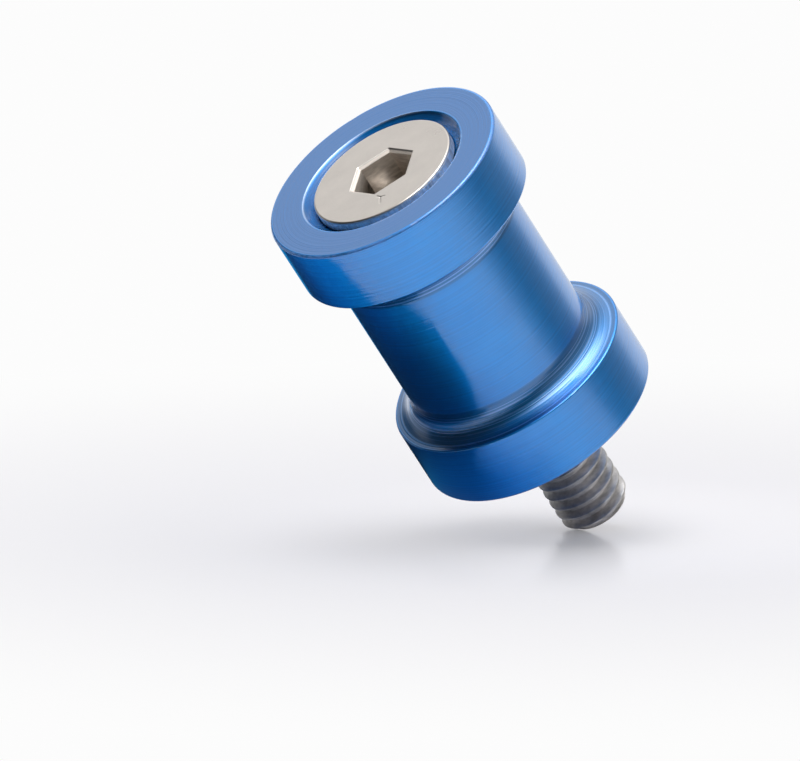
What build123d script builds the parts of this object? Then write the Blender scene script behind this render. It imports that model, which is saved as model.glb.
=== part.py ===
from build123d import *
from math import radians, tan
import os

# Swingarm spool: one turned aluminium bobbin and the countersunk screw that holds it.
# Millimetres. +Z runs along the axis, from the mounting seat towards the screw's head.
# The origin is the centre of the seat, where the thread leaves the bobbin.

# Bobbin, outside
flange_diameter = 26.0
overall_length = 34.4
flange_width = 7.2
neck_diameter = 20.5
groove_edge_round = 0.2
groove_land = 0.1
face_edge_round = 0.3

# Screw, M8 countersunk with a hexagon socket
head_diameter = 15.8
head_rim_height = 1.1
head_edge_round = 0.15
countersink_angle = 90.0
thread_diameter = 7.9
thread_reach = 13.3
thread_end_diameter = 6.3
thread_end_length = 0.9
shank_diameter = 7.2
socket_across_flats = 6.0
socket_depth = 4.2
socket_drill_angle = 118.0
socket_lead_in = 0.3

# Fits between the two
bore_clearance = 0.25
seat_clearance = 0.15
bore_entry_chamfer = 0.8
countersink_edge_round = 0.15
runout_height = 0.3

# Places that follow from the sizes above
flange_radius = flange_diameter / 2
neck_radius = neck_diameter / 2
groove_root_fillet = flange_radius - neck_radius - groove_edge_round - groove_land
bore_radius = thread_diameter / 2 + bore_clearance
cone_slope = tan(radians(countersink_angle / 2))
countersink_radius = head_diameter / 2 + head_rim_height * cone_slope + seat_clearance
head_cone_height = (head_diameter - shank_diameter) / 2 / cone_slope
head_top = overall_length
thread_tip = -thread_reach
runout_slope_height = (thread_diameter - shank_diameter) / 2
socket_floor = head_top - socket_depth
drill_cone_depth = socket_across_flats / 2 / tan(radians(socket_drill_angle / 2))


def rings(builder, radius, height):
    """The circular edges of this radius that lie at this height."""
    found = builder.edges().filter_by(GeomType.CIRCLE)
    return found.filter_by(lambda ring: abs(ring.radius - radius) < 0.01 and abs(ring.center().Z - height) < 0.01)


# The bobbin is turned from one bar: two flanges, the neck between them and a stepped bore
with BuildPart() as spool_body:
    with BuildSketch(Plane.XZ):
        with BuildLine():
            Polyline(
                (0, 0),
                (flange_radius, 0),
                (flange_radius, flange_width),
                (neck_radius, flange_width),
                (neck_radius, overall_length - flange_width),
                (flange_radius, overall_length - flange_width),
                (flange_radius, overall_length),
                (0, overall_length),
                close=True,
            )
        make_face()
    revolve(axis=Axis.Z)

    # A large fillet runs from the neck almost to each flange's rim, so that a stand's hook slides in
    groove_floor = rings(spool_body, neck_radius, flange_width)
    groove_ceiling = rings(spool_body, neck_radius, overall_length - flange_width)
    fillet(groove_floor + groove_ceiling, radius=groove_root_fillet)

    # The rims of the groove and of the two outer faces are broken with small rounds
    groove_rims = rings(spool_body, flange_radius, flange_width)
    groove_rims += rings(spool_body, flange_radius, overall_length - flange_width)
    fillet(groove_rims, radius=groove_edge_round)
    outer_rims = rings(spool_body, flange_radius, 0) + rings(spool_body, flange_radius, overall_length)
    fillet(outer_rims, radius=face_edge_round)

    # The bore clears the thread, and its countersink takes the screw's head flush with the face
    with Locations((0, 0, overall_length)):
        CounterSinkHole(
            radius=bore_radius,
            counter_sink_radius=countersink_radius,
            counter_sink_angle=countersink_angle,
        )
    fillet(rings(spool_body, countersink_radius, overall_length), radius=countersink_edge_round)
    chamfer(rings(spool_body, bore_radius, 0), length=bore_entry_chamfer)

# The screw: a head with a short straight rim over its cone, a shank, and the thread as a plain
# cylinder at its major diameter, which narrows at the end
with BuildPart() as countersunk_screw:
    with BuildSketch(Plane.XZ):
        with BuildLine():
            Polyline(
                (0, head_top),
                (head_diameter / 2, head_top),
                (head_diameter / 2, head_top - head_rim_height),
                (shank_diameter / 2, head_top - head_rim_height - head_cone_height),
                (shank_diameter / 2, runout_height + runout_slope_height),
                (thread_diameter / 2, runout_height),
                (thread_diameter / 2, thread_tip + thread_end_length),
                (thread_end_diameter / 2, thread_tip),
                (0, thread_tip),
                close=True,
            )
        make_face()
    revolve(axis=Axis.Z)
    fillet(rings(countersunk_screw, head_diameter / 2, head_top), radius=head_edge_round)

    # The hexagon socket has its corners on the X axis and ends in the cone that its drill left
    with BuildSketch(Plane.XY.offset(head_top)):
        RegularPolygon(radius=socket_across_flats / 2, side_count=6, major_radius=False)
    extrude(amount=-socket_depth, mode=Mode.SUBTRACT)
    socket_mouth = countersunk_screw.edges().filter_by(GeomType.LINE).group_by(Axis.Z)[-1]
    chamfer(socket_mouth, length=socket_lead_in)
    with BuildSketch(Plane.XZ):
        with BuildLine():
            Polyline(
                (0, socket_floor),
                (socket_across_flats / 2, socket_floor),
                (0, socket_floor - drill_cone_depth),
                close=True,
            )
        make_face()
    revolve(axis=Axis.Z, mode=Mode.SUBTRACT)

spool_body.part.label = "spool_body"
countersunk_screw.part.label = "countersunk_screw"

os.makedirs("parts", exist_ok=True)
export_step(spool_body.part, "parts/spool_body.step")
export_step(countersunk_screw.part, "parts/countersunk_screw.step")
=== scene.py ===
# %% [markdown]
# # A swingarm spool in blue aluminium and plain steel
# The object is small and simple: a turned bobbin, and the countersunk screw that holds it to a
# motorbike's swingarm. A paddock stand's hook lifts the bike by the groove of the bobbin.
#
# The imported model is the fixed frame. Its two pieces have the right size and place, and this lesson
# gives each of them a finer skin, a finish and the marks of use. Lengths are written in millimetres
# and turned into metres where a mesh is made.

# %% Load the frame
import bmesh
import bpy
from collections import namedtuple
from math import cos, degrees, pi, radians, sin, tan
from mathutils import Matrix, Vector


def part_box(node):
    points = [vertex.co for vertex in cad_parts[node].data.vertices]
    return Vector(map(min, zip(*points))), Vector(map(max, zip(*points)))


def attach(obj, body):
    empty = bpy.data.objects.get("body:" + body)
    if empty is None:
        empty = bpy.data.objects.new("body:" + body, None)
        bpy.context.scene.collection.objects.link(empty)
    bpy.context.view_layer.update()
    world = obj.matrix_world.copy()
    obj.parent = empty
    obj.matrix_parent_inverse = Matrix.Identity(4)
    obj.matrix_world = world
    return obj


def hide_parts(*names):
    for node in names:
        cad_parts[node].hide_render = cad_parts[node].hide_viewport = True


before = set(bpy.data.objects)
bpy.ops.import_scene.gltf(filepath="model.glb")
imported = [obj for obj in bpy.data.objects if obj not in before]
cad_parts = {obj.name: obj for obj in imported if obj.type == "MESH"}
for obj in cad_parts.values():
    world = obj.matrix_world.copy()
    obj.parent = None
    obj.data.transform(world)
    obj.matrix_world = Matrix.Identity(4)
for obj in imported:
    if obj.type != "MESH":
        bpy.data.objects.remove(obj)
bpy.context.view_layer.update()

MM = 0.001
bobbin_low, bobbin_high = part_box("spool_body")
screw_low, screw_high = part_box("countersunk_screw")

# %% [markdown]
# ## Camera
# The photograph was taken from far away with a long lens, so its lines run almost parallel. The
# spool leans in it: its axis points up and to the left, and towards the camera.
#
# A camera could be aimed with a Track To constraint, but that leaves the roll to chance. Here the
# spool's three axes are written as the camera sees them. Stacked as rows they are the camera's
# rotation, and one known point, the middle of the head, gives its place.

# %% Aim the camera
IMAGE_WIDTH = 800
IMAGE_HEIGHT = 761
HEAD_CENTRE_PIXEL = Vector((381.3, 171.0))
FOCAL_PIXELS = 10780
CAMERA_DISTANCE = 1.1016
SENSOR_WIDTH = 36
VIEW_TILT = radians(61.34)
AXIS_DIRECTION = radians(122.63)

head_centre = Vector((0, 0, bobbin_high.z))
sight_line = Vector((
    HEAD_CENTRE_PIXEL.x - IMAGE_WIDTH / 2,
    IMAGE_HEIGHT / 2 - HEAD_CENTRE_PIXEL.y,
    -FOCAL_PIXELS,
))
towards_camera = -sight_line.normalized()
across_sight = Vector((cos(AXIS_DIRECTION), sin(AXIS_DIRECTION), 0))
across_sight = (across_sight - across_sight.project(towards_camera)).normalized()
axis_z_seen = cos(VIEW_TILT) * towards_camera + sin(VIEW_TILT) * across_sight
axis_x_seen = axis_z_seen.cross(towards_camera).normalized()
axis_y_seen = axis_z_seen.cross(axis_x_seen)
camera_turn = Matrix((axis_x_seen, axis_y_seen, axis_z_seen))

camera_data = bpy.data.cameras.new("camera")
camera_data.sensor_width = SENSOR_WIDTH
camera_data.lens = FOCAL_PIXELS * SENSOR_WIDTH / IMAGE_WIDTH
camera_data.clip_end = 10
camera = bpy.data.objects.new("camera", camera_data)
camera.matrix_world = camera_turn.to_4x4()
camera.location = head_centre + CAMERA_DISTANCE * (camera_turn @ towards_camera)
bpy.context.scene.collection.objects.link(camera)
bpy.context.scene.camera = camera
bpy.context.scene.view_settings.view_transform = "Standard"
print("Camera at", [round(v, 3) for v in camera.location])
print("Its lens has", round(camera_data.lens), "mm")

# %% [markdown]
# ## The floor's direction
# The spool is photographed resting on the tip of its screw, so the floor isn't level with the
# spool's own axes. The camera looks down on it by a few degrees only. From that angle and the
# camera's turn come three directions that the floor, the lights and the world all use.

# %% Directions of the floor
LOOKING_DOWN = radians(8)
SCREW_TIP_RADIUS = 3.15

floor_up = camera_turn @ Vector((0, cos(LOOKING_DOWN), sin(LOOKING_DOWN)))
floor_right = camera_turn @ Vector((1, 0, 0))
floor_away = floor_up.cross(floor_right)
down_across = -Vector((floor_up.x, floor_up.y, 0)).normalized()
touching_point = Vector((0, 0, screw_low.z)) + down_across * SCREW_TIP_RADIUS * MM
print("The axis leans", round(degrees(floor_up.angle(Vector((0, 0, 1))))), "degrees from the upright")


def on_floor(right, away, height=0.0):
    """The point so many millimetres to the right of the screw's tip, behind it and above the floor."""
    return touching_point + (right * floor_right + away * floor_away + height * floor_up) * MM


# %% [markdown]
# ## Small helpers for node trees
# Materials, the world and the Geometry Nodes tree are all node trees, and they are built the same
# way: make a node, set its inputs, and take its output on to the next. A few short helpers keep that
# readable. A value given to an input may be a plain number or another node's output.

# %% Node helpers
def add_node(tree, kind, inputs=None, **settings):
    """A new node with its settings made and its inputs set or linked."""
    node = tree.nodes.new(kind)
    for name, value in settings.items():
        setattr(node, name, value)
    for name, value in (inputs or {}).items():
        if isinstance(value, bpy.types.NodeSocket):
            tree.links.new(value, node.inputs[name])
        else:
            node.inputs[name].default_value = value
    return node


def calculate(tree, operation, *values):
    """The output of a Math node."""
    return add_node(tree, "ShaderNodeMath", dict(enumerate(values)), operation=operation).outputs[0]


def vector_math(tree, operation, *values):
    """The Math node for vectors, whose value comes second among its outputs."""
    return add_node(tree, "ShaderNodeVectorMath", dict(enumerate(values)), operation=operation)


def ease(tree, value, start, end):
    """0 below start, 1 above end, and a smooth rise between them. The two may be swapped."""
    sockets = {"Value": value, "From Min": start, "From Max": end}
    return add_node(tree, "ShaderNodeMapRange", sockets, interpolation_type="SMOOTHSTEP").outputs["Result"]


def blend_colours(tree, factor, first, second):
    """A colour between two colours."""
    node = tree.nodes.new("ShaderNodeMix")
    node.data_type = "RGBA"
    for socket, value in ((node.inputs[0], factor), (node.inputs[6], first), (node.inputs[7], second)):
        if isinstance(value, bpy.types.NodeSocket):
            tree.links.new(value, socket)
        else:
            socket.default_value = value
    return node.outputs[2]


def new_material(name):
    """An empty material, with its tree and its output node."""
    material = bpy.data.materials.new(name)
    material.use_nodes = True
    tree = material.node_tree
    tree.nodes.clear()
    return material, tree, tree.nodes.new("ShaderNodeOutputMaterial")


def noise(tree, place, scale, detail, stretch=(1, 1, 1)):
    """Noise from 0 to 1, which may be stretched along the axes."""
    if stretch != (1, 1, 1):
        place = add_node(tree, "ShaderNodeMapping", {"Vector": place, "Scale": stretch}).outputs[0]
    sockets = {"Vector": place, "Scale": scale, "Detail": detail}
    return add_node(tree, "ShaderNodeTexNoise", sockets).outputs["Fac"]

# %% [markdown]
# ## Light
# Metal shows hardly any colour of its own: it shows its surroundings. Where the gloss on the real
# spool is bright, it mirrors a large soft lamp overhead. It is paler where it mirrors the floor and
# the backdrop, and black where it mirrors the dark left side of the room.
#
# An image of a studio could surround the object, but a few rules on the direction say the same, and
# each can be changed by itself. A rule is one part of the light: an amount, and the eases that fade
# it. The parts are added up, and only mirrored rays meet them: matt paint gets an even light, and the
# camera a plain white backdrop.

# %% The parts of the light
BACKDROP_WHITE = 0.975
SOFT_LIGHT = 0.72
DARK_ROOM = 0.02
LAMP_FORWARD = 0.2
LAMP_LEFT = 0.11
LAMP_SPREAD_ALONG = 0.56
LAMP_SPREAD_ACROSS = 0.36
GLOW_FORWARD = 0.15
GLOW_LEFT = 0.1
FLOOR_EDGE_SLOPE = 0.22

world = bpy.data.worlds.new("studio")
world.use_nodes = True
bpy.context.scene.world = world
studio = world.node_tree
studio.nodes.clear()


def seen(towards):
    """How far the seen direction points towards another direction, from -1 to 1."""
    direction = add_node(studio, "ShaderNodeTexCoord").outputs["Generated"]
    return vector_math(studio, "DOT_PRODUCT", direction, towards).outputs["Value"]


def part_of_light(amount, *eases):
    """An amount of light, faded by every ease: a value with the place where it starts and ends."""
    light = amount
    for value, start, end in eases:
        light = calculate(studio, "MULTIPLY", light, ease(studio, value, start, end))
    return light


up_seen = seen(floor_up)
away_seen = seen(floor_away)
right_seen = seen(floor_right)
glow_seen = seen((floor_up - GLOW_FORWARD * floor_away - GLOW_LEFT * floor_right).normalized())
lower_to_the_right = calculate(studio, "MULTIPLY_ADD", right_seen, -FLOOR_EDGE_SLOPE, up_seen)
lamp_across = calculate(studio, "ADD", right_seen, LAMP_LEFT)
lamp_across = calculate(studio, "DIVIDE", lamp_across, LAMP_SPREAD_ACROSS)
lamp_along = calculate(studio, "ADD", away_seen, LAMP_FORWARD)
lamp_along = calculate(studio, "DIVIDE", lamp_along, LAMP_SPREAD_ALONG)
lamp_across = calculate(studio, "POWER", calculate(studio, "ABSOLUTE", lamp_across), 2)
lamp_along = calculate(studio, "POWER", calculate(studio, "ABSOLUTE", lamp_along), 2)
off_lamp = calculate(studio, "SQRT", calculate(studio, "ADD", lamp_across, lamp_along))

right_of_dark = (right_seen, -0.62, -0.45)
left_of_light = (right_seen, 0.3, -0.2)
far_left = (right_seen, -0.7, -0.8)
lights = {
    "soft lamp": part_of_light(4.6, (off_lamp, 1.25, 0.35), (up_seen, 0, 0.2)),
    "glow of the lamp": part_of_light(1.0, (glow_seen, 0.6, 1), right_of_dark),
    "backdrop": part_of_light(0.35, (away_seen, 0.35, 0.75), right_of_dark),
    "light part of it": part_of_light(0.6, (away_seen, 0.1, 0.6), right_of_dark, left_of_light),
    "foot of it": part_of_light(0.4, (away_seen, 0.55, 0.75), (up_seen, 0.3, 0.1)),
    "strip on the left": part_of_light(0.3, (away_seen, 0.3, 0.45), (up_seen, 0.6, 0.45), far_left),
    "room on the right": part_of_light(0.31, (right_seen, 0, 0.5), (up_seen, -0.2, 0.25)),
    "floor": part_of_light(0.85, (lower_to_the_right, -0.2, -0.55), right_of_dark),
}
print("The light has", len(lights), "parts")

# %% The studio as a world
surroundings = DARK_ROOM
for light in lights.values():
    surroundings = calculate(studio, "ADD", surroundings, light)
white_light = {"Color": (1, 1, 1, 1)}
seen_light = add_node(studio, "ShaderNodeBackground", {**white_light, "Strength": BACKDROP_WHITE})
mirrored_light = add_node(studio, "ShaderNodeBackground", {**white_light, "Strength": surroundings})
soft_light = add_node(studio, "ShaderNodeBackground", {**white_light, "Strength": SOFT_LIGHT})
rays = add_node(studio, "ShaderNodeLightPath").outputs
choice = add_node(studio, "ShaderNodeMixShader", {
    0: rays["Is Diffuse Ray"],
    1: mirrored_light.outputs[0],
    2: soft_light.outputs[0],
})
choice = add_node(studio, "ShaderNodeMixShader", {
    0: rays["Is Camera Ray"],
    1: choice.outputs[0],
    2: seen_light.outputs[0],
})
add_node(studio, "ShaderNodeOutputWorld", {"Surface": choice.outputs[0]})
print("The world has", len(studio.nodes), "nodes")

# %% [markdown]
# The world is all that metal needs, and its even light gives most of the soft shadow on the floor. A
# weak area lamp where the metal sees its lamp makes that shadow a little firmer round the screw's tip.
# Glossy rays don't meet this one, so that nothing is lit twice in the metal.

# %% The lamp for the floor
LAMP_WIDTH = 0.3
LAMP_LENGTH = 0.5
LAMP_DISTANCE = 0.55
LAMP_LIGHT = 0.2

lamp_data = bpy.data.lights.new("soft_lamp", "AREA")
lamp_data.shape = "RECTANGLE"
lamp_data.size = LAMP_WIDTH
lamp_data.size_y = LAMP_LENGTH
lamp_data.energy = LAMP_LIGHT * pi * LAMP_WIDTH * LAMP_LENGTH
lamp = bpy.data.objects.new("soft_lamp", lamp_data)
towards_lamp = (floor_up - LAMP_FORWARD * floor_away - LAMP_LEFT * floor_right).normalized()
lamp.location = LAMP_DISTANCE * towards_lamp
lamp_side = (floor_right - floor_right.project(towards_lamp)).normalized()
lamp_turn = Matrix((lamp_side, towards_lamp.cross(lamp_side), towards_lamp)).transposed()
lamp.rotation_euler = lamp_turn.to_euler()
lamp.visible_camera = False
lamp.visible_glossy = False
bpy.context.scene.collection.objects.link(lamp)
print("Lamp of", round(lamp_data.energy, 2), "W")

# %% [markdown]
# ## Floor and card
# The floor is a white disc through the tip of the screw. It is plain paint with some gloss close to
# the tip, so it takes a soft shadow and a faint mirror image of the thread. A Fresnel node says how
# much gloss shows, because paint mirrors most at a slant. Further out the camera sees the paint fade
# into the backdrop's white, and other rays pass on to the world, so that no edge shows. From below
# the floor is clear.
#
# A dark blue card lies to the left, where only mirrored rays meet it. Photographers use such a card to
# give bright metal a dark side. This one is painted shade in the reflections: its dark blue stands for
# the shaded side of a blue thing beside the spool and the shaded floor under it. Its soft near edge and
# its grey corner close to the tip paint the floor's shadow round the tip, and the lighter blue far out
# and at the back paints the lit side of the blue thing.

# %% Floor material
FLOOR_PAINT = (0.87, 0.862, 0.895, 1)
FLOOR_ROUGHNESS = 0.19
FLOOR_IOR = 1.3
GLOSS_FADE_START = 10
GLOSS_FADE_END = 45
FLOOR_FADE_START = 30
FLOOR_FADE_END = 130
FLOOR_WHITE = 0.945
FLOOR_LIFT = 0.16


def floor_finish():
    """White paint, clear from below, that fades into the backdrop far from the spool."""
    material, tree, output = new_material("floor_white")
    place = add_node(tree, "ShaderNodeTexCoord").outputs["Object"]
    distance = vector_math(tree, "DISTANCE", place, touching_point).outputs["Value"]
    matt = add_node(tree, "ShaderNodeBsdfDiffuse", {"Color": FLOOR_PAINT})
    glossy = add_node(tree, "ShaderNodeBsdfGlossy", {"Color": FLOOR_PAINT, "Roughness": FLOOR_ROUGHNESS})
    gloss = add_node(tree, "ShaderNodeFresnel", {"IOR": FLOOR_IOR}).outputs[0]
    at_tip = ease(tree, distance, GLOSS_FADE_END * MM, GLOSS_FADE_START * MM)
    gloss = calculate(tree, "MULTIPLY", gloss, at_tip)
    paint = add_node(tree, "ShaderNodeMixShader", {0: gloss, 1: matt.outputs[0], 2: glossy.outputs[0]})

    faded = ease(tree, distance, FLOOR_FADE_START * MM, FLOOR_FADE_END * MM)
    by_camera = add_node(tree, "ShaderNodeLightPath").outputs["Is Camera Ray"]
    strength = calculate(tree, "MULTIPLY_ADD", faded, BACKDROP_WHITE - FLOOR_WHITE, FLOOR_WHITE)
    white = add_node(tree, "ShaderNodeEmission", {"Color": (1, 1, 1, 1), "Strength": strength})
    lift = calculate(tree, "MULTIPLY_ADD", faded, 1 - FLOOR_LIFT, FLOOR_LIFT)
    lift = calculate(tree, "MULTIPLY", by_camera, lift)
    shown = add_node(tree, "ShaderNodeMixShader", {0: lift, 1: paint.outputs[0], 2: white.outputs[0]})

    from_below = add_node(tree, "ShaderNodeNewGeometry").outputs["Backfacing"]
    clearness = calculate(tree, "SUBTRACT", faded, by_camera)
    clearness = calculate(tree, "MAXIMUM", clearness, from_below)
    clear = add_node(tree, "ShaderNodeBsdfTransparent")
    mix = add_node(tree, "ShaderNodeMixShader", {0: clearness, 1: shown.outputs[0], 2: clear.outputs[0]})
    tree.links.new(mix.outputs[0], output.inputs["Surface"])
    return material


# %% Card material
# Painted shade and reflection: dark for the shaded floor and blue thing, grey for the shadow by the tip.
CARD_SHADE_DARK = (0.006, 0.022, 0.045, 1)
CARD_REFLECTED_BLUE = (0.01, 0.28, 0.62, 1)
CARD_SHADOW_EDGE = (0.015, 0.23, 0.48, 1)
CARD_TIP_SHADOW_GREY = (0.12, 0.125, 0.155, 1)
CARD_SLANT = 0.6
CARD_OUTER_START = 40
CARD_OUTER_END = 58
CARD_BACK_START = 55
CARD_BACK_END = 85
CARD_NEAR_TIP = 26
CARD_AT_TIP = 19
CARD_GREY_TIP = 12
CARD_TIP_SHARE = 0.4
CARD_EDGE_COVER = 0.6


def painted_shade_card_finish():
    """Dark blue card of painted shade: lighter far out and at the back, a grey painted shadow at the tip,
    clear from below.
    """
    material, tree, output = new_material("painted_shade_card")
    place = add_node(tree, "ShaderNodeTexCoord").outputs["Object"]
    from_tip = vector_math(tree, "SUBTRACT", place, touching_point).outputs["Vector"]
    slanted = -floor_right - CARD_SLANT * floor_away
    outwards = vector_math(tree, "DOT_PRODUCT", from_tip, slanted).outputs["Value"]
    backwards = vector_math(tree, "DOT_PRODUCT", from_tip, floor_away).outputs["Value"]
    distance = vector_math(tree, "LENGTH", from_tip).outputs["Value"]
    cover = add_node(tree, "ShaderNodeAttribute", attribute_name="cover").outputs["Fac"]

    far_out = ease(tree, outwards, CARD_OUTER_START * MM, CARD_OUTER_END * MM)
    far_back = ease(tree, backwards, CARD_BACK_START * MM, CARD_BACK_END * MM)
    near_tip = ease(tree, distance, CARD_NEAR_TIP * MM, CARD_AT_TIP * MM)
    near_tip = calculate(tree, "MULTIPLY", near_tip, CARD_TIP_SHARE)
    at_tip = ease(tree, distance, CARD_AT_TIP * MM, CARD_GREY_TIP * MM)
    colour = blend_colours(tree, ease(tree, cover, 1.0, CARD_EDGE_COVER), CARD_SHADE_DARK, CARD_SHADOW_EDGE)
    colour = blend_colours(tree, calculate(tree, "MAXIMUM", far_out, far_back), colour, CARD_REFLECTED_BLUE)
    colour = blend_colours(tree, near_tip, colour, CARD_SHADOW_EDGE)
    colour = blend_colours(tree, at_tip, colour, CARD_TIP_SHADOW_GREY)

    card_light = add_node(tree, "ShaderNodeEmission", {"Color": colour, "Strength": 1.0})
    clear = add_node(tree, "ShaderNodeBsdfTransparent")
    from_below = add_node(tree, "ShaderNodeNewGeometry").outputs["Backfacing"]
    clearness = calculate(tree, "MAXIMUM", ease(tree, cover, 1.0, 0.0), from_below)
    mix = add_node(tree, "ShaderNodeMixShader", {0: clearness, 1: card_light.outputs[0], 2: clear.outputs[0]})
    tree.links.new(mix.outputs[0], output.inputs["Surface"])
    return material


# %% Floor and card meshes
FLOOR_RADIUS = 420
FLOOR_CORNERS = 64
CARD_NEAR_SIDE = ((-19.5, -31.5), (-15, -25), (-15, -14), (-6, 8))
CARD_SOFT_EDGE = ((-18.5, -32.5), (-12.5, -27.5), (10, -28.5), (13, 8))
CARD_FAR_SIDE = ((-8, 60), (-25, 220), (-120, 220), (-60, -16), (-38, -25.5))
CARD_HEIGHT = 1.5


def flat_piece(name, corners, faces, material):
    """A flat piece with its place in the mesh."""
    mesh = bpy.data.meshes.new(name)
    mesh.from_pydata(corners, [], faces)
    mesh.materials.append(material)
    piece = bpy.data.objects.new(name, mesh)
    bpy.context.scene.collection.objects.link(piece)
    return piece


turns = [2 * pi * k / FLOOR_CORNERS for k in range(FLOOR_CORNERS)]
rim = [on_floor(FLOOR_RADIUS * cos(turn), FLOOR_RADIUS * sin(turn)) for turn in turns]
floor = flat_piece("floor", rim, [range(FLOOR_CORNERS)], floor_finish())

card_corners = (*CARD_NEAR_SIDE, *CARD_FAR_SIDE, *CARD_SOFT_EDGE)
whole = len(CARD_NEAR_SIDE) + len(CARD_FAR_SIDE)
strips = [(k + 1, k, whole + k, whole + k + 1) for k in range(len(CARD_NEAR_SIDE) - 1)]
card_places = [on_floor(*corner, CARD_HEIGHT) for corner in card_corners]
card = flat_piece("card", card_places, [range(whole), *strips], painted_shade_card_finish())
cover = [1.0] * whole + [0.0] * len(CARD_SOFT_EDGE)
card.data.attributes.new("cover", "FLOAT", "POINT").data.foreach_set("value", cover)
card.visible_camera = False
card.visible_diffuse = False
card.visible_shadow = False
card.visible_transmission = False
print("The floor has", FLOOR_CORNERS, "corners and the card", len(card_corners))

# %% [markdown]
# ## Outlines
# Both pieces are made on a lathe, so each is one outline turned round the axis. An outline is a list
# of corners, as a drawing for the workshop gives them. Each has a radius, a height, its own small
# rounding, and the length of the steps that lead on to the next corner.
#
# A Screw modifier would turn such an outline, but it can't make the hexagon or the thread. So the
# outline's points carry four marks besides their place: how hexagonal the section is there, how
# much thread is cut, which finish shows, and how far along the outline they lie. The lathe and the
# finishes read them.

# %% Corners become points
Corner = namedtuple("Corner", "radius height rounding step hexagon thread tone", defaults=(0, 1.0, 0, 0, 0))
ARC_STEP = radians(11)
SUPPORT = 0.05


def arc_points(before, corner, after):
    """The points of the round at a corner, from one straight run to the next."""
    middle = Vector((corner.radius, corner.height))
    back = (Vector((before.radius, before.height)) - middle).normalized()
    on = (Vector((after.radius, after.height)) - middle).normalized()
    half = back.angle(on) / 2
    centre = middle + (back + on).normalized() * corner.rounding / sin(half)
    first = middle + back * corner.rounding / tan(half) - centre
    last = middle + on * corner.rounding / tan(half) - centre
    turn = (pi - 2 * half) * (1 if first.cross(last) > 0 else -1)
    count = max(2, round(abs(turn) / ARC_STEP))
    turns = [Matrix.Rotation(turn * k / count, 2) for k in range(count + 1)]
    return [centre + part_turn @ first for part_turn in turns]


def outline_points(corners, closed):
    """Every point of the outline with its marks: (radius, height, hexagon, thread, tone)."""
    rounds = []
    for k, corner in enumerate(corners):
        last = not closed and k in (0, len(corners) - 1)
        if corner.rounding and not last:
            places = arc_points(corners[k - 1], corner, corners[(k + 1) % len(corners)])
        else:
            places = [Vector((corner.radius, corner.height))]
        rounds.append([(*place, corner.hexagon, corner.thread, corner.tone) for place in places])
    points = []
    for k, here in enumerate(rounds):
        points += here
        if k + 1 == len(rounds) and not closed:
            break
        start = Vector(here[-1])
        end = Vector(rounds[(k + 1) % len(rounds)][0])
        length = (end - start).to_2d().length
        count = max(1, round(length / corners[k].step))
        shares = [j / count for j in range(1, count)]
        if length > 4 * SUPPORT:
            shares = [SUPPORT / length, *shares, 1 - SUPPORT / length]
        points += [tuple(start.lerp(end, share)) for share in sorted(shares)]
    if closed:
        points.append(points[0])
    return points


def outline_mesh(name, points):
    """The outline as a string of edges in the XZ plane, with its marks as attributes."""
    mesh = bpy.data.meshes.new(name)
    places = [(radius * MM, 0, height * MM) for radius, height, *_ in points]
    mesh.from_pydata(places, [(k, k + 1) for k in range(len(points) - 1)], [])
    run = 0.0
    runs = [run]
    for k in range(1, len(points)):
        run += (Vector(points[k][:2]) - Vector(points[k - 1][:2])).length
        runs.append(run)
    marks = {
        "hexagon": [point[2] for point in points],
        "thread": [point[3] for point in points],
        "tone": [point[4] for point in points],
        "run": runs,
    }
    for mark, values in marks.items():
        mesh.attributes.new(mark, "FLOAT", "POINT").data.foreach_set("value", values)
    print(name, "has", len(points), "points over", round(run, 1), "mm")
    return mesh


# %% [markdown]
# ## A lathe in Geometry Nodes
# The tree takes an outline and a number of steps. It starts from a flat grid with one column for
# each step round the axis and one row for each point of the outline, and moves every point of the
# grid to its place by a rule:
#
# - the radius and height are those of the outline's point,
# - where the section is hexagonal, the radius grows towards the six corners,
# - where there is thread, the radius is no more than the thread's form allows at that turn.
#
# A thread could also be swept along a helix, but then its ends and the plain shank have to be joined
# to it. Here thread, shank, cone, head and socket come out as one closed skin.

# %% The lathe tree
SEAM_DISTANCE = 1e-6
ROOT_ROUNDING = 0.25
FLANK_ANGLE = radians(30)
THREAD_INPUTS = (
    "Thread radius", "Thread pitch", "Thread shift", "Thread depth", "Crest width", "Thread wear",
)


def stretched_to_hexagon(tree, radius, angle, share):
    """The radius, which grows towards six corners by the share of hexagon."""
    sixth = calculate(tree, "FLOORED_MODULO", angle, pi / 3)
    sixth = calculate(tree, "SUBTRACT", sixth, pi / 6)
    stretch = calculate(tree, "DIVIDE", 1, calculate(tree, "COSINE", sixth))
    stretch = calculate(tree, "SUBTRACT", stretch, 1)
    stretch = calculate(tree, "MULTIPLY_ADD", stretch, share, 1)
    return calculate(tree, "MULTIPLY", radius, stretch)


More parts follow.
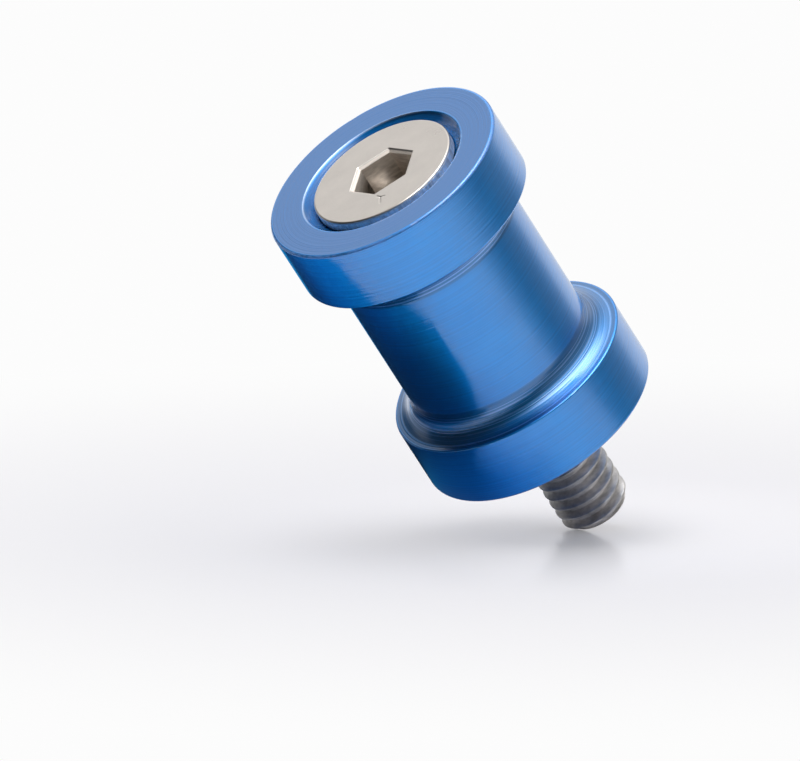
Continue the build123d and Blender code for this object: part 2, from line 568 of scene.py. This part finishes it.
def cut_by_thread(tree, radius, height, turn, share, given):
    """The radius, which is no more than the thread's form allows there."""
    along = calculate(tree, "ADD", height, given["Thread shift"])
    phase = calculate(tree, "DIVIDE", along, given["Thread pitch"])
    phase = calculate(tree, "FRACT", calculate(tree, "SUBTRACT", phase, turn))
    from_crest = calculate(tree, "ABSOLUTE", calculate(tree, "SUBTRACT", phase, 0.5))
    from_crest = calculate(tree, "MULTIPLY", from_crest, given["Thread pitch"])
    half_crest = calculate(tree, "DIVIDE", given["Crest width"], 2)
    down_flank = calculate(tree, "SUBTRACT", from_crest, half_crest)
    flank_width = calculate(tree, "MULTIPLY", given["Thread depth"], tan(FLANK_ANGLE))
    straight = calculate(tree, "DIVIDE", down_flank, flank_width)
    straight = add_node(tree, "ShaderNodeClamp", {"Value": straight}).outputs[0]
    rounded = ease(tree, straight, 0.0, 1.0)
    depth = add_node(tree, "ShaderNodeMix", {0: ROOT_ROUNDING, 2: straight, 3: rounded}).outputs[0]
    depth = calculate(tree, "MULTIPLY", depth, given["Thread depth"])
    thread_form = calculate(tree, "SUBTRACT", given["Thread radius"], depth)
    cut = calculate(tree, "SMOOTH_MIN", radius, thread_form, given["Thread wear"])
    cut = calculate(tree, "SUBTRACT", cut, radius)
    return calculate(tree, "MULTIPLY_ADD", cut, share, radius)


def lathe_tree():
    """The node group, with its named inputs."""
    tree = bpy.data.node_groups.new("lathe", "GeometryNodeTree")
    interface = tree.interface
    interface.new_socket("Geometry", in_out="INPUT", socket_type="NodeSocketGeometry")
    interface.new_socket("Steps", in_out="INPUT", socket_type="NodeSocketInt")
    for name in THREAD_INPUTS:
        interface.new_socket(name, in_out="INPUT", socket_type="NodeSocketFloat")
    interface.new_socket("Material", in_out="INPUT", socket_type="NodeSocketMaterial")
    interface.new_socket("Geometry", in_out="OUTPUT", socket_type="NodeSocketGeometry")
    given = add_node(tree, "NodeGroupInput").outputs

    size = add_node(tree, "GeometryNodeAttributeDomainSize", {"Geometry": given["Geometry"]})
    points = size.outputs["Point Count"]
    columns = calculate(tree, "ADD", given["Steps"], 1)
    grid = add_node(tree, "GeometryNodeMeshGrid", {"Vertices X": columns, "Vertices Y": points})
    index = add_node(tree, "GeometryNodeInputIndex").outputs[0]
    column = calculate(tree, "DIVIDE", calculate(tree, "ADD", index, 0.5), points)
    column = calculate(tree, "FLOOR", column)
    row = calculate(tree, "SUBTRACT", index, calculate(tree, "MULTIPLY", column, points))
    turn = calculate(tree, "DIVIDE", column, given["Steps"])
    angle = calculate(tree, "MULTIPLY", turn, 2 * pi)

    def from_outline(kind, value):
        """What the outline's point for this row carries."""
        sockets = {"Geometry": given["Geometry"], "Value": value, "Index": row}
        return add_node(tree, "GeometryNodeSampleIndex", sockets, data_type=kind).outputs["Value"]

    def mark(name):
        """One of the outline's marks."""
        named = add_node(tree, "GeometryNodeInputNamedAttribute", {"Name": name}, data_type="FLOAT")
        return from_outline("FLOAT", named.outputs["Attribute"])

    place = from_outline("FLOAT_VECTOR", add_node(tree, "GeometryNodeInputPosition").outputs[0])
    place = add_node(tree, "ShaderNodeSeparateXYZ", {0: place}).outputs
    radius, height = place["X"], place["Z"]

    radius = stretched_to_hexagon(tree, radius, angle, mark("hexagon"))
    radius = cut_by_thread(tree, radius, height, turn, mark("thread"), given)
    x = calculate(tree, "MULTIPLY", radius, calculate(tree, "COSINE", angle))
    y = calculate(tree, "MULTIPLY", radius, calculate(tree, "SINE", angle))
    turned_place = add_node(tree, "ShaderNodeCombineXYZ", {"X": x, "Y": y, "Z": height}).outputs[0]

    skin = grid.outputs["Mesh"]
    for name in ("run", "tone"):
        sockets = {"Geometry": skin, "Name": name, "Value": mark(name)}
        stored = add_node(tree, "GeometryNodeStoreNamedAttribute", sockets, data_type="FLOAT")
        skin = stored.outputs["Geometry"]
    sockets = {"Geometry": skin, "Position": turned_place}
    skin = add_node(tree, "GeometryNodeSetPosition", sockets).outputs["Geometry"]
    sockets = {"Geometry": skin, "Distance": SEAM_DISTANCE}
    skin = add_node(tree, "GeometryNodeMergeByDistance", sockets).outputs["Geometry"]
    skin = add_node(tree, "GeometryNodeRealizeInstances", {"Geometry": skin}).outputs["Geometry"]
    sockets = {"Geometry": skin, "Material": given["Material"]}
    skin = add_node(tree, "GeometryNodeSetMaterial", sockets).outputs["Geometry"]
    add_node(tree, "NodeGroupOutput", {"Geometry": skin})
    return tree


lathe = lathe_tree()
print("The lathe tree has", len(lathe.nodes), "nodes")

# %% [markdown]
# The modifier's inputs are set by the sockets' identifiers, and then the evaluated object is copied
# to a plain mesh, which a library can keep without the tree. On that mesh the faces are pointed
# outwards, and edges that turn by more than a set angle are kept sharp, so that the six corners of the
# socket stay crisp.

# %% Turn an outline into a plain mesh
SHARP_ANGLE = radians(38)


def turn_piece(name, points, inputs):
    """The finished skin of one turned piece, as a plain mesh object at the origin."""
    blank = bpy.data.objects.new(name + "_outline", outline_mesh(name + "_outline", points))
    bpy.context.scene.collection.objects.link(blank)
    modifier = blank.modifiers.new("lathe", "NODES")
    modifier.node_group = lathe
    for socket in lathe.interface.items_tree:
        if socket.in_out == "INPUT" and socket.name in inputs:
            modifier[socket.identifier] = inputs[socket.name]
    evaluated = blank.evaluated_get(bpy.context.evaluated_depsgraph_get())
    mesh = bpy.data.meshes.new_from_object(evaluated)
    mesh.name = name
    bpy.data.objects.remove(blank)

    skin = bmesh.new()
    skin.from_mesh(mesh)
    bmesh.ops.recalc_face_normals(skin, faces=skin.faces)
    for face in skin.faces:
        face.smooth = True
    for edge in skin.edges:
        edge.smooth = edge.calc_face_angle(0) < SHARP_ANGLE
    open_edges = sum(1 for edge in skin.edges if not edge.is_manifold)
    skin.to_mesh(mesh)
    skin.free()
    piece = bpy.data.objects.new(name, mesh)
    bpy.context.scene.collection.objects.link(piece)
    print(name, "has", len(mesh.polygons), "faces and", open_edges, "open edges")
    return piece


# %% [markdown]
# ## Blue anodised aluminium
# Anodising grows a clear skin on the metal and dyes it. So the light that comes back from the metal
# is deep blue, and a thin white gloss lies over it, strongest where the surface is seen at a slant.
# That is a metallic Principled shader with a coat.
#
# The tool has left fine rings all over. They follow the outline, so the pattern reads the mark "run",
# the distance along the outline, in one dimension: every ring then has its own height and gloss. The
# mark "tone" tells where painted shade darkens the blue: 1 on the two flat faces, 2 in the countersink,
# and -1 in the hollows of the groove, where the tool has left coarser lines, and these lines are painted
# lighter as painted highlights.

# %% Colours and rings
DYED_BLUE = (0.003, 0.265, 0.765, 1)
DYED_BLUE_THIN = (0.005, 0.315, 0.86, 1)
# Painted shade: the faces, the countersink and the groove's hollows get darker blues, and the hollows' lines
# a lighter painted highlight.
FACE_SHADE_BLUE = (0.004, 0.20, 0.60, 1)
SEAT_SHADE_BLUE = (0.003, 0.18, 0.52, 1)
HOLLOW_SHADE_BLUE = (0.003, 0.17, 0.47, 1)
HOLLOW_HIGHLIGHT_LINE = (0.13, 0.38, 0.82, 1)
# Pale blue: wear on the mouth and rims, and painted light: the glint of each nick and the lighter rims.
WEAR_AND_GLINT_BLUE = (0.62, 0.72, 0.88, 1)
FINE_RINGS = 4.2
BROAD_RINGS = 1.1
HOLLOW_RINGS = 4.6
CLOUD_SCALE = 260
CLOUD_SHARE = 0.3
THIN_DYE = (0.35, 0.65)
HIGHLIGHT_LINE_EDGES = (0.48, 0.68)


def rings(tree, per_millimetre, detail):
    """Uneven rings along the outline, from 0 to 1."""
    run = add_node(tree, "ShaderNodeAttribute", attribute_name="run").outputs["Fac"]
    sockets = {"W": run, "Scale": per_millimetre, "Detail": detail}
    return add_node(tree, "ShaderNodeTexNoise", sockets, noise_dimensions="1D").outputs["Fac"]


def dye_with_painted_light(tree, place, fine, lines, tone):
    """The dye, uneven from ring to ring, with painted shade on faces, seat and hollows and painted highlight
    lines.
    """
    cloud = calculate(tree, "MULTIPLY", noise(tree, place, CLOUD_SCALE, 2), CLOUD_SHARE)
    thin = calculate(tree, "MULTIPLY_ADD", fine, 1 - CLOUD_SHARE, cloud)
    colour = blend_colours(tree, ease(tree, thin, *THIN_DYE), DYED_BLUE, DYED_BLUE_THIN)
    colour = blend_colours(tree, ease(tree, tone, 0.0, 1.0), colour, FACE_SHADE_BLUE)
    colour = blend_colours(tree, ease(tree, tone, 1.0, 2.0), colour, SEAT_SHADE_BLUE)
    hollow_shade_and_highlight = blend_colours(tree, ease(tree, lines, *HIGHLIGHT_LINE_EDGES), HOLLOW_SHADE_BLUE, HOLLOW_HIGHLIGHT_LINE)
    return blend_colours(tree, ease(tree, tone, 0.0, -1.0), colour, hollow_shade_and_highlight)

# %% [markdown]
# Handling wears an edge first. The countersink's mouth is scuffed on its near side and has a thin light
# line on its far side. Both outer rims are rubbed, and their paler flecks are also painted light, which
# takes out the dark line that the rims mirror. An image could be painted with such marks, but a rule on
# the place, broken up by a noise, needs no image and stays sharp at any distance.

# %% Wear on the edges
COUNTERSINK_RADIUS = 9.15
WORN_SIDE = radians(25)
FLECK_SCALE = 2400
FLECK_EDGES = (0.36, 0.6)
MOUTH_WEAR = 0.4
# The mouth's far line is painted lighter, and so are the rims: rub wear, and painted light against the dark
# that they mirror.
FAR_LINE_LIGHTER = 0.6
RIM_WEAR_AND_LIGHT = 0.3
RIM_ROUGHNESS = 0.4
RIM_EVENNESS = 0.4

# Where a mark starts to show and where it shows in full, in millimetres
SCUFF_BAND = (0.3, 0.05)
LINE_BAND = (0.16, 0.04)
FACE_BAND = (-0.6, -0.1)
RIM_BAND = (-0.3, -0.16)
NEAR_SIDE_BAND = (4.5, 7.5)
FAR_SIDE_BAND = (-1, -5)


def ease_band(tree, value, band, zero=0.0):
    """A rise over a band in millimetres, which is counted from a value in metres."""
    start, end = band
    return ease(tree, value, zero + start * MM, zero + end * MM)


def place_round_axis(tree, place):
    """A place as its flat part, its distance from the axis and its height."""
    parts = add_node(tree, "ShaderNodeSeparateXYZ", {0: place}).outputs
    flat = add_node(tree, "ShaderNodeCombineXYZ", {"X": parts["X"], "Y": parts["Y"]}).outputs[0]
    return flat, vector_math(tree, "LENGTH", flat).outputs["Value"], parts["Z"]


def mouth_scuffs_and_line(tree, place, flecks):
    """Where the countersink's mouth is lighter: worn flecks on the near side, a thin line on the far side."""
    flat, radius, height = place_round_axis(tree, place)
    off_edge = calculate(tree, "SUBTRACT", radius, COUNTERSINK_RADIUS * MM)
    off_edge = calculate(tree, "ABSOLUTE", off_edge)
    on_edge = ease_band(tree, off_edge, SCUFF_BAND)
    on_line = ease_band(tree, off_edge, LINE_BAND)
    at_face = ease_band(tree, height, FACE_BAND, bobbin_high.z)
    towards_side = (sin(WORN_SIDE), -cos(WORN_SIDE), 0)
    aside = vector_math(tree, "DOT_PRODUCT", flat, towards_side).outputs["Value"]
    near_side = ease_band(tree, aside, NEAR_SIDE_BAND)
    far_side = ease_band(tree, aside, FAR_SIDE_BAND)
    scuffs = calculate(tree, "MULTIPLY", calculate(tree, "MULTIPLY", near_side, flecks), MOUTH_WEAR)
    scuffs = calculate(tree, "MULTIPLY", on_edge, scuffs)
    line = calculate(tree, "MULTIPLY", on_line, calculate(tree, "MULTIPLY", far_side, FAR_LINE_LIGHTER))
    return calculate(tree, "MULTIPLY", at_face, calculate(tree, "MAXIMUM", scuffs, line))


def rubbed_and_lightened_rims(tree, place, flecks):
    """Where the outer rims are rubbed and painted lighter against the dark they mirror, in uneven flecks."""
    radius, height = place_round_axis(tree, place)[1:]
    half_length = (bobbin_high.z - bobbin_low.z) / 2
    corner = bobbin_high.x + half_length
    from_middle = calculate(tree, "ABSOLUTE", calculate(tree, "SUBTRACT", height, half_length))
    past_corner = calculate(tree, "ADD", radius, from_middle)
    rim = ease_band(tree, past_corner, RIM_BAND, corner)
    uneven = calculate(tree, "MULTIPLY_ADD", flecks, 1 - RIM_EVENNESS, RIM_EVENNESS)
    return calculate(tree, "MULTIPLY", rim, uneven)


# %% The blue finish
BLUE_ROUGHNESS = 0.36
RING_ROUGHNESS = 0.12
SEAT_ROUGHNESS = 0.3
RING_HEIGHT = 0.018
BROAD_SHARE = 0.15
GLOSS_SHARE = 0.55
HOLLOW_SHARE = 1.5
COAT_ROUGHNESS = 0.07
OXIDE_IOR = 1.83


def blue_finish():
    """Dyed metal with turning rings, under a clear gloss."""
    material, tree, output = new_material("anodised_blue")
    place = add_node(tree, "ShaderNodeTexCoord").outputs["Object"]
    tone = add_node(tree, "ShaderNodeAttribute", attribute_name="tone").outputs["Fac"]
    nicked = add_node(tree, "ShaderNodeAttribute", attribute_name="nicked").outputs["Fac"]
    fine = rings(tree, FINE_RINGS, 2)
    broad = rings(tree, BROAD_RINGS, 1)
    lines = rings(tree, HOLLOW_RINGS, 1)

    flecks = ease(tree, noise(tree, place, FLECK_SCALE, 3), *FLECK_EDGES)
    rims = rubbed_and_lightened_rims(tree, place, flecks)
    # Painted light joins the wear here: each nick's painted glint, and the rims painted lighter.
    wear_and_painted_light = calculate(tree, "MAXIMUM", mouth_scuffs_and_line(tree, place, flecks), nicked)
    wear_and_painted_light = calculate(tree, "MAXIMUM", wear_and_painted_light, calculate(tree, "MULTIPLY", rims, RIM_WEAR_AND_LIGHT))
    colour = dye_with_painted_light(tree, place, fine, lines, tone)
    colour = blend_colours(tree, wear_and_painted_light, colour, WEAR_AND_GLINT_BLUE)

    roughness = calculate(tree, "MULTIPLY_ADD", fine, RING_ROUGHNESS, BLUE_ROUGHNESS)
    in_seat = ease(tree, tone, 1.0, 2.0)
    roughness = calculate(tree, "MULTIPLY_ADD", in_seat, SEAT_ROUGHNESS, roughness)
    roughness = calculate(tree, "MULTIPLY_ADD", rims, RIM_ROUGHNESS, roughness)

    height = calculate(tree, "MULTIPLY_ADD", broad, BROAD_SHARE, fine)
    bump = add_node(tree, "ShaderNodeBump", {"Height": height, "Distance": RING_HEIGHT * MM})
    gloss = add_node(tree, "ShaderNodeBump", {"Height": height, "Distance": GLOSS_SHARE * RING_HEIGHT * MM})
    in_hollow = ease(tree, tone, 0.0, -1.0)
    line_depth = calculate(tree, "MULTIPLY", in_hollow, HOLLOW_SHARE * RING_HEIGHT * MM)
    sockets = {"Height": lines, "Distance": line_depth, "Normal": gloss.outputs[0]}
    gloss = add_node(tree, "ShaderNodeBump", sockets)
    shader = add_node(tree, "ShaderNodeBsdfPrincipled", {
        "Base Color": colour,
        "Metallic": 1.0,
        "Roughness": roughness,
        "Normal": bump.outputs[0],
        "Coat Weight": 1.0,
        "Coat Roughness": COAT_ROUGHNESS,
        "Coat IOR": OXIDE_IOR,
        "Coat Normal": gloss.outputs[0],
    })
    tree.links.new(shader.outputs[0], output.inputs["Surface"])
    print(material.name, "has", len(tree.nodes), "nodes")
    return material


blue_material = blue_finish()

# %% [markdown]
# ## Plain steel
# The screw is cold-formed, and its steel is left plain. The head has a fine dull grain, the socket is
# browner and darker inside, where the punch has dragged the metal, and the rolled thread is greyer
# still. The head's side wall and the socket's lead-in are painted lighter, as painted light where they
# would mirror too little. Each could be a material of its own, but one that reads the mark "tone" goes
# over from one to the next without a seam: -1 is the head's side wall, 0 its face, 0.5 the socket's
# lead-in, 1 the socket and 2 the thread.

# %% The steel finish
HEAD_STEEL = (0.76, 0.71, 0.66, 1)
SOCKET_STEEL = (0.52, 0.478, 0.436, 1)
THREAD_STEEL = (0.62, 0.60, 0.585, 1)
GRAIN_SCALE = 3200
GRAIN_HEIGHT = 0.004
MOTTLE_SCALE = 420
MOTTLE_SHADE = 0.24
MOTTLE_ON_THREAD = 0.4
DRAWN_OUT = (3, 3, 9)
DRAG_STRETCH = (700, 700, 2600)
DRAG_SHADE = 1.4
DRAG_HEIGHT = 10
SCRAPE_STRETCH = (2600, 2600, 400)
SCRAPE_SHADE = 2.2
SCRAPE_HEIGHT = 14
# Painted light: the head's side wall and the socket's lead-in are made lighter.
SIDE_PAINTED_LIGHT = 0.3
LEAD_IN_PAINTED_LIGHT = 0.3
NICK_DARKER = -0.14
STEEL_ROUGHNESS = 0.23
MOTTLE_ROUGHNESS = 0.14
THREAD_ROUGHNESS = 0.14
SIDE_ROUGHNESS = 0.2
LEAD_IN_ROUGHNESS = 0.4


def steel_finish():
    """Dull steel, with a darker socket and thread."""
    material, tree, output = new_material("screw_steel")
    place = add_node(tree, "ShaderNodeTexCoord").outputs["Object"]
    tone = add_node(tree, "ShaderNodeAttribute", attribute_name="tone").outputs["Fac"]
    nicked = add_node(tree, "ShaderNodeAttribute", attribute_name="nicked").outputs["Fac"]
    on_side = ease(tree, tone, -0.2, -0.8)
    on_lead_in = calculate(tree, "MULTIPLY", ease(tree, tone, 0.0, 0.2), ease(tree, tone, 0.8, 0.5))
    in_socket = ease(tree, tone, 0.2, 0.8)
    on_thread = ease(tree, tone, 1.2, 1.8)

    drawn_out = vector_math(tree, "MULTIPLY", place, DRAWN_OUT).outputs[0]
    drawn_out = blend_colours(tree, on_thread, place, drawn_out)
    grain = noise(tree, place, GRAIN_SCALE, 3)
    mottle = noise(tree, drawn_out, MOTTLE_SCALE, 5)
    dragged = noise(tree, place, 1, 4, stretch=DRAG_STRETCH)
    scraped = noise(tree, place, 1, 3, stretch=SCRAPE_STRETCH)

    def shaded(shade, marks, amount):
        """The shade, made lighter or darker by marks round 0.5."""
        return calculate(tree, "MULTIPLY_ADD", calculate(tree, "SUBTRACT", marks, 0.5), amount, shade)

    shade = shaded(1, mottle, calculate(tree, "MULTIPLY_ADD", on_thread, MOTTLE_ON_THREAD, MOTTLE_SHADE))
    shade = shaded(shade, dragged, calculate(tree, "MULTIPLY", in_socket, DRAG_SHADE))
    shade = shaded(shade, scraped, calculate(tree, "MULTIPLY", on_side, SCRAPE_SHADE))
    # Painted light on the side wall and the lead-in
    shade = calculate(tree, "MULTIPLY_ADD", on_side, SIDE_PAINTED_LIGHT, shade)
    shade = calculate(tree, "MULTIPLY_ADD", on_lead_in, LEAD_IN_PAINTED_LIGHT, shade)
    shade = calculate(tree, "MULTIPLY", shade, calculate(tree, "MULTIPLY_ADD", nicked, NICK_DARKER, 1))
    colour = blend_colours(tree, in_socket, HEAD_STEEL, SOCKET_STEEL)
    colour = blend_colours(tree, on_thread, colour, THREAD_STEEL)
    colour = vector_math(tree, "SCALE", colour)
    tree.links.new(shade, colour.inputs["Scale"])

    roughness = calculate(tree, "MULTIPLY_ADD", mottle, MOTTLE_ROUGHNESS, STEEL_ROUGHNESS)
    roughness = calculate(tree, "MULTIPLY_ADD", on_thread, THREAD_ROUGHNESS, roughness)
    roughness = calculate(tree, "MULTIPLY_ADD", on_side, SIDE_ROUGHNESS, roughness)
    roughness = calculate(tree, "MULTIPLY_ADD", on_lead_in, LEAD_IN_ROUGHNESS, roughness)
    drag = calculate(tree, "MULTIPLY", dragged, in_socket)
    scrape = calculate(tree, "MULTIPLY", scraped, on_side)
    height = calculate(tree, "MULTIPLY_ADD", drag, DRAG_HEIGHT, grain)
    height = calculate(tree, "MULTIPLY_ADD", scrape, SCRAPE_HEIGHT, height)
    bump = add_node(tree, "ShaderNodeBump", {"Height": height, "Distance": GRAIN_HEIGHT * MM})
    shader = add_node(tree, "ShaderNodeBsdfPrincipled", {
        "Base Color": colour.outputs[0],
        "Metallic": 1.0,
        "Roughness": roughness,
        "Normal": bump.outputs[0],
    })
    tree.links.new(shader.outputs[0], output.inputs["Surface"])
    print(material.name, "has", len(tree.nodes), "nodes")
    return material


steel_material = steel_finish()

# %% [markdown]
# ## The bobbin
# One bar of aluminium, turned: two wide flanges with a neck between them. A large fillet runs from
# the neck almost to each rim, and the edges are only just broken. The inside is a plain bore with a
# countersink for the screw's head. Cylinders and a Boolean would give it too, but with long thin faces
# at the cuts. Its outline is closed, so the skin is a closed ring without poles.

# %% The bobbin's outline
FLANGE_WIDTH = 7.2
NECK_RADIUS = 10.25
GROOVE_EDGE_ROUND = 0.2
GROOVE_LAND = 0.1
FACE_EDGE_ROUND = 0.3
BORE_RADIUS = 4.2
BORE_ENTRY = 0.8
COUNTERSINK_EDGE_ROUND = 0.15
NECK_MARGIN = 0.4
SEAT_MARGIN = 0.3
END_OF_MARK = 0.1
BOBBIN_STEPS = 384

flange_radius = bobbin_high.x / MM
bobbin_length = bobbin_high.z / MM
groove_fillet = flange_radius - NECK_RADIUS - GROOVE_EDGE_ROUND - GROOVE_LAND
countersink_depth = COUNTERSINK_RADIUS - BORE_RADIUS
neck_start = FLANGE_WIDTH + groove_fillet + NECK_MARGIN
edge_of_face = flange_radius - FACE_EDGE_ROUND - END_OF_MARK
mouth_of_face = COUNTERSINK_RADIUS + COUNTERSINK_EDGE_ROUND + END_OF_MARK
bobbin_corners = [
    Corner(BORE_RADIUS + BORE_ENTRY, 0, 0.05, 0.5, tone=1),
    Corner(edge_of_face, 0, 0, 0.1, tone=1),
    Corner(flange_radius, 0, FACE_EDGE_ROUND, 0.45),
    Corner(flange_radius, FLANGE_WIDTH, GROOVE_EDGE_ROUND, 0.1),
    Corner(NECK_RADIUS, FLANGE_WIDTH, groove_fillet, 0.1, tone=-1),
    Corner(NECK_RADIUS, neck_start, 0, 0.45),
    Corner(NECK_RADIUS, bobbin_length - neck_start, 0, 0.1),
    Corner(NECK_RADIUS, bobbin_length - FLANGE_WIDTH, groove_fillet, 0.1, tone=-1),
    Corner(flange_radius, bobbin_length - FLANGE_WIDTH, GROOVE_EDGE_ROUND, 0.45),
    Corner(flange_radius, bobbin_length, FACE_EDGE_ROUND, 0.1),
    Corner(edge_of_face, bobbin_length, 0, 0.45, tone=1),
    Corner(mouth_of_face, bobbin_length, 0, 0.1, tone=1),
    Corner(COUNTERSINK_RADIUS, bobbin_length, COUNTERSINK_EDGE_ROUND, 0.1),
    Corner(COUNTERSINK_RADIUS - SEAT_MARGIN, bobbin_length - SEAT_MARGIN, 0, 0.6, tone=2),
    Corner(BORE_RADIUS, bobbin_length - countersink_depth, 0.1, 3, tone=2),
    Corner(BORE_RADIUS, BORE_ENTRY, 0.05, 0.4),
]
bobbin = turn_piece("turned_bobbin", outline_points(bobbin_corners, closed=True), {
    "Steps": BOBBIN_STEPS,
    "Thread radius": flange_radius * MM,
    "Thread pitch": MM,
    "Thread shift": 0.0,
    "Thread depth": 0.0,
    "Crest width": MM,
    "Thread wear": 0.0,
    "Material": blue_material,
})

# %% [markdown]
# ## The screw
# A countersunk screw with a hexagon socket, all one piece. Its outline starts in the middle of the
# socket's floor, climbs the wall, crosses the face of the head, runs down the cone and the shank, and
# ends in the middle of the tip. A screw from an add-on would be quicker, but its pitch, socket and tip
# would not be those of this one.

# %% The screw's outline
HEAD_RIM_HEIGHT = 1.1
HEAD_EDGE_ROUND = 0.2
SHANK_RADIUS = 3.6
SOCKET_HALF_WIDTH = 3.0
SOCKET_DEPTH = 4.2
SOCKET_LEAD_IN = 0.33
DRILL_POINT = radians(59)
DRILL_MARGIN = 0.06
FACE_TURNS_ROUND = 4.9
THREAD_RADIUS = 3.93
THREAD_PITCH = 1.35
THREAD_SHIFT = 0.45
THREAD_DEPTH = 0.8
CREST_WIDTH = 0.16
THREAD_WEAR = 0.02
THREAD_START = 0.3
THREAD_LEAD = 0.4
RUN_OUT = 1.3
TIP_CHAMFER = 0.9
SCREW_STEPS = 168

head_radius = screw_high.x / MM
head_top = screw_high.z / MM
screw_tip = screw_low.z / MM
side_bottom = head_top - HEAD_RIM_HEIGHT
cone_height = head_radius - SHANK_RADIUS
socket_floor = head_top - SOCKET_DEPTH
drill_radius = SOCKET_HALF_WIDTH - DRILL_MARGIN
thread_top = THREAD_START + THREAD_LEAD
shank_step = THREAD_PITCH / 16
thread_step = THREAD_PITCH / 34
screw_corners = [
    Corner(0, socket_floor - drill_radius / tan(DRILL_POINT), 0, 0.4, tone=1),
    Corner(drill_radius, socket_floor, 0, 0.2, tone=1),
    Corner(SOCKET_HALF_WIDTH, socket_floor, 0, 0.25, hexagon=1, tone=1),
    Corner(SOCKET_HALF_WIDTH, head_top - SOCKET_LEAD_IN, 0.06, 0.2, hexagon=1, tone=0.5),
    Corner(SOCKET_HALF_WIDTH + SOCKET_LEAD_IN, head_top, 0.16, 0.15, hexagon=1),
    Corner(FACE_TURNS_ROUND, head_top, 0, 0.15),
    Corner(head_radius, head_top, HEAD_EDGE_ROUND, 0.1),
    Corner(head_radius, head_top - HEAD_EDGE_ROUND - END_OF_MARK, 0, 0.2, tone=-1),
    Corner(head_radius, side_bottom, 0.1, 0.5, tone=-1),
    Corner(SHANK_RADIUS, side_bottom - cone_height, 0.3, 2),
    Corner(SHANK_RADIUS, thread_top + RUN_OUT, 0, shank_step, tone=2),
    Corner(SHANK_RADIUS, thread_top, 0, shank_step, thread=1, tone=2),
    Corner(THREAD_RADIUS, THREAD_START, 0, thread_step, thread=1, tone=2),
    Corner(THREAD_RADIUS, screw_tip + TIP_CHAMFER, 0.3, thread_step, thread=1, tone=2),
    Corner(SCREW_TIP_RADIUS, screw_tip, 0.25, 0.3, thread=1, tone=2),
    Corner(0, screw_tip, 0, 0.3, thread=1, tone=2),
]
screw = turn_piece("threaded_screw", outline_points(screw_corners, closed=False), {
    "Steps": SCREW_STEPS,
    "Thread radius": THREAD_RADIUS * MM,
    "Thread pitch": THREAD_PITCH * MM,
    "Thread shift": THREAD_SHIFT * MM,
    "Thread depth": THREAD_DEPTH * MM,
    "Crest width": CREST_WIDTH * MM,
    "Thread wear": THREAD_WEAR * MM,
    "Material": steel_material,
})

# %% [markdown]
# ## Nicks
# The spool has been knocked and the screw has been turned. A few rims carry small dents, and there is a
# forked scratch beside the socket. A texture could only darken them, so they are pressed into the mesh:
# the faces there are divided, and every point near a short line moves inwards. A mark tells the finishes
# where each nick lies: there the blue is painted pale, partly for the bare metal and partly as a painted
# glint, and the steel a little darker.

# %% Press a nick
FINER = 2
NEAR_LINE = 1.5


def press_nick(piece, start, end, width, depth):
    """A dent along a short line between two places in millimetres. Nothing grows outwards."""
    start, end = Vector(start) * MM, Vector(end) * MM
    run = end - start

    def off_line(place):
        """The distance from the line, as a share of the nick's width."""
        share = min(1, max(0, (place - start).dot(run) / run.length_squared))
        return (place - start - run * share).length / (width * MM)

    skin = bmesh.new()
    skin.from_mesh(piece.data)
    nicked = skin.verts.layers.float.get("nicked") or skin.verts.layers.float.new("nicked")
    near = [edge for edge in skin.edges if min(off_line(vert.co) for vert in edge.verts) < NEAR_LINE]
    bmesh.ops.subdivide_edges(skin, edges=near, cuts=FINER, use_grid_fill=True)
    skin.normal_update()
    pressed = [(vert, 1 - off_line(vert.co)) for vert in skin.verts if off_line(vert.co) < 1]
    for vert, share in pressed:
        vert.co -= vert.normal * depth * MM * share * share * (3 - 2 * share)
        # This mark paints the blue pale there: bare metal, and a painted glint.
        vert[nicked] = max(vert[nicked], share)
    skin.to_mesh(piece.data)
    skin.free()
    return len(pressed)


def at_rim(turn, radius, height):
    """A place on the bobbin, its turn in degrees from the side that faces the camera."""
    return (radius * sin(radians(turn)), -radius * cos(radians(turn)), height)


# %% The nicks on the rims and beside the socket
RIM_RADIUS = 12.93
RIM_NICKS = (
    (-1.3, 1.2, 0.15, 0.035),
    (-9.5, -7.6, 0.1, 0.015),
    (-14, -11.4, 0.12, 0.015),
    (-18.4, -16.5, 0.1, 0.015),
    (-24, -20.4, 0.12, 0.015),
    (176.5, 179.5, 0.22, 0.09),
)
GROOVE_NICK = (18.2, 21.0, 0.11, 0.04)
SCRATCH_MIDDLE = Vector((-1.54, -4.5, head_top))
SCRATCH_ARMS = ((-0.22, 0.5, 0), (-0.32, -1.0, 0), (0.42, -0.25, 0))
SCRATCH_WIDTH = 0.17
SCRATCH_DEPTH = 0.024

moved = 0
for first, last, width, depth in RIM_NICKS:
    ends = (at_rim(first, RIM_RADIUS, bobbin_length), at_rim(last, RIM_RADIUS, bobbin_length))
    moved += press_nick(bobbin, *ends, width, depth)
first, last, width, depth = GROOVE_NICK
ends = (at_rim(first, flange_radius, FLANGE_WIDTH), at_rim(last, flange_radius, FLANGE_WIDTH))
moved += press_nick(bobbin, *ends, width, depth)
for arm in SCRATCH_ARMS:
    moved += press_nick(screw, SCRATCH_MIDDLE, SCRATCH_MIDDLE + Vector(arm), SCRATCH_WIDTH, SCRATCH_DEPTH)
print("The nicks moved", moved, "points")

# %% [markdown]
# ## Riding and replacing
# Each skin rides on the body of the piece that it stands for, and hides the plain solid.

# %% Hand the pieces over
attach(bobbin, "spool")
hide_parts("spool_body")
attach(screw, "screw")
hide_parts("countersunk_screw")
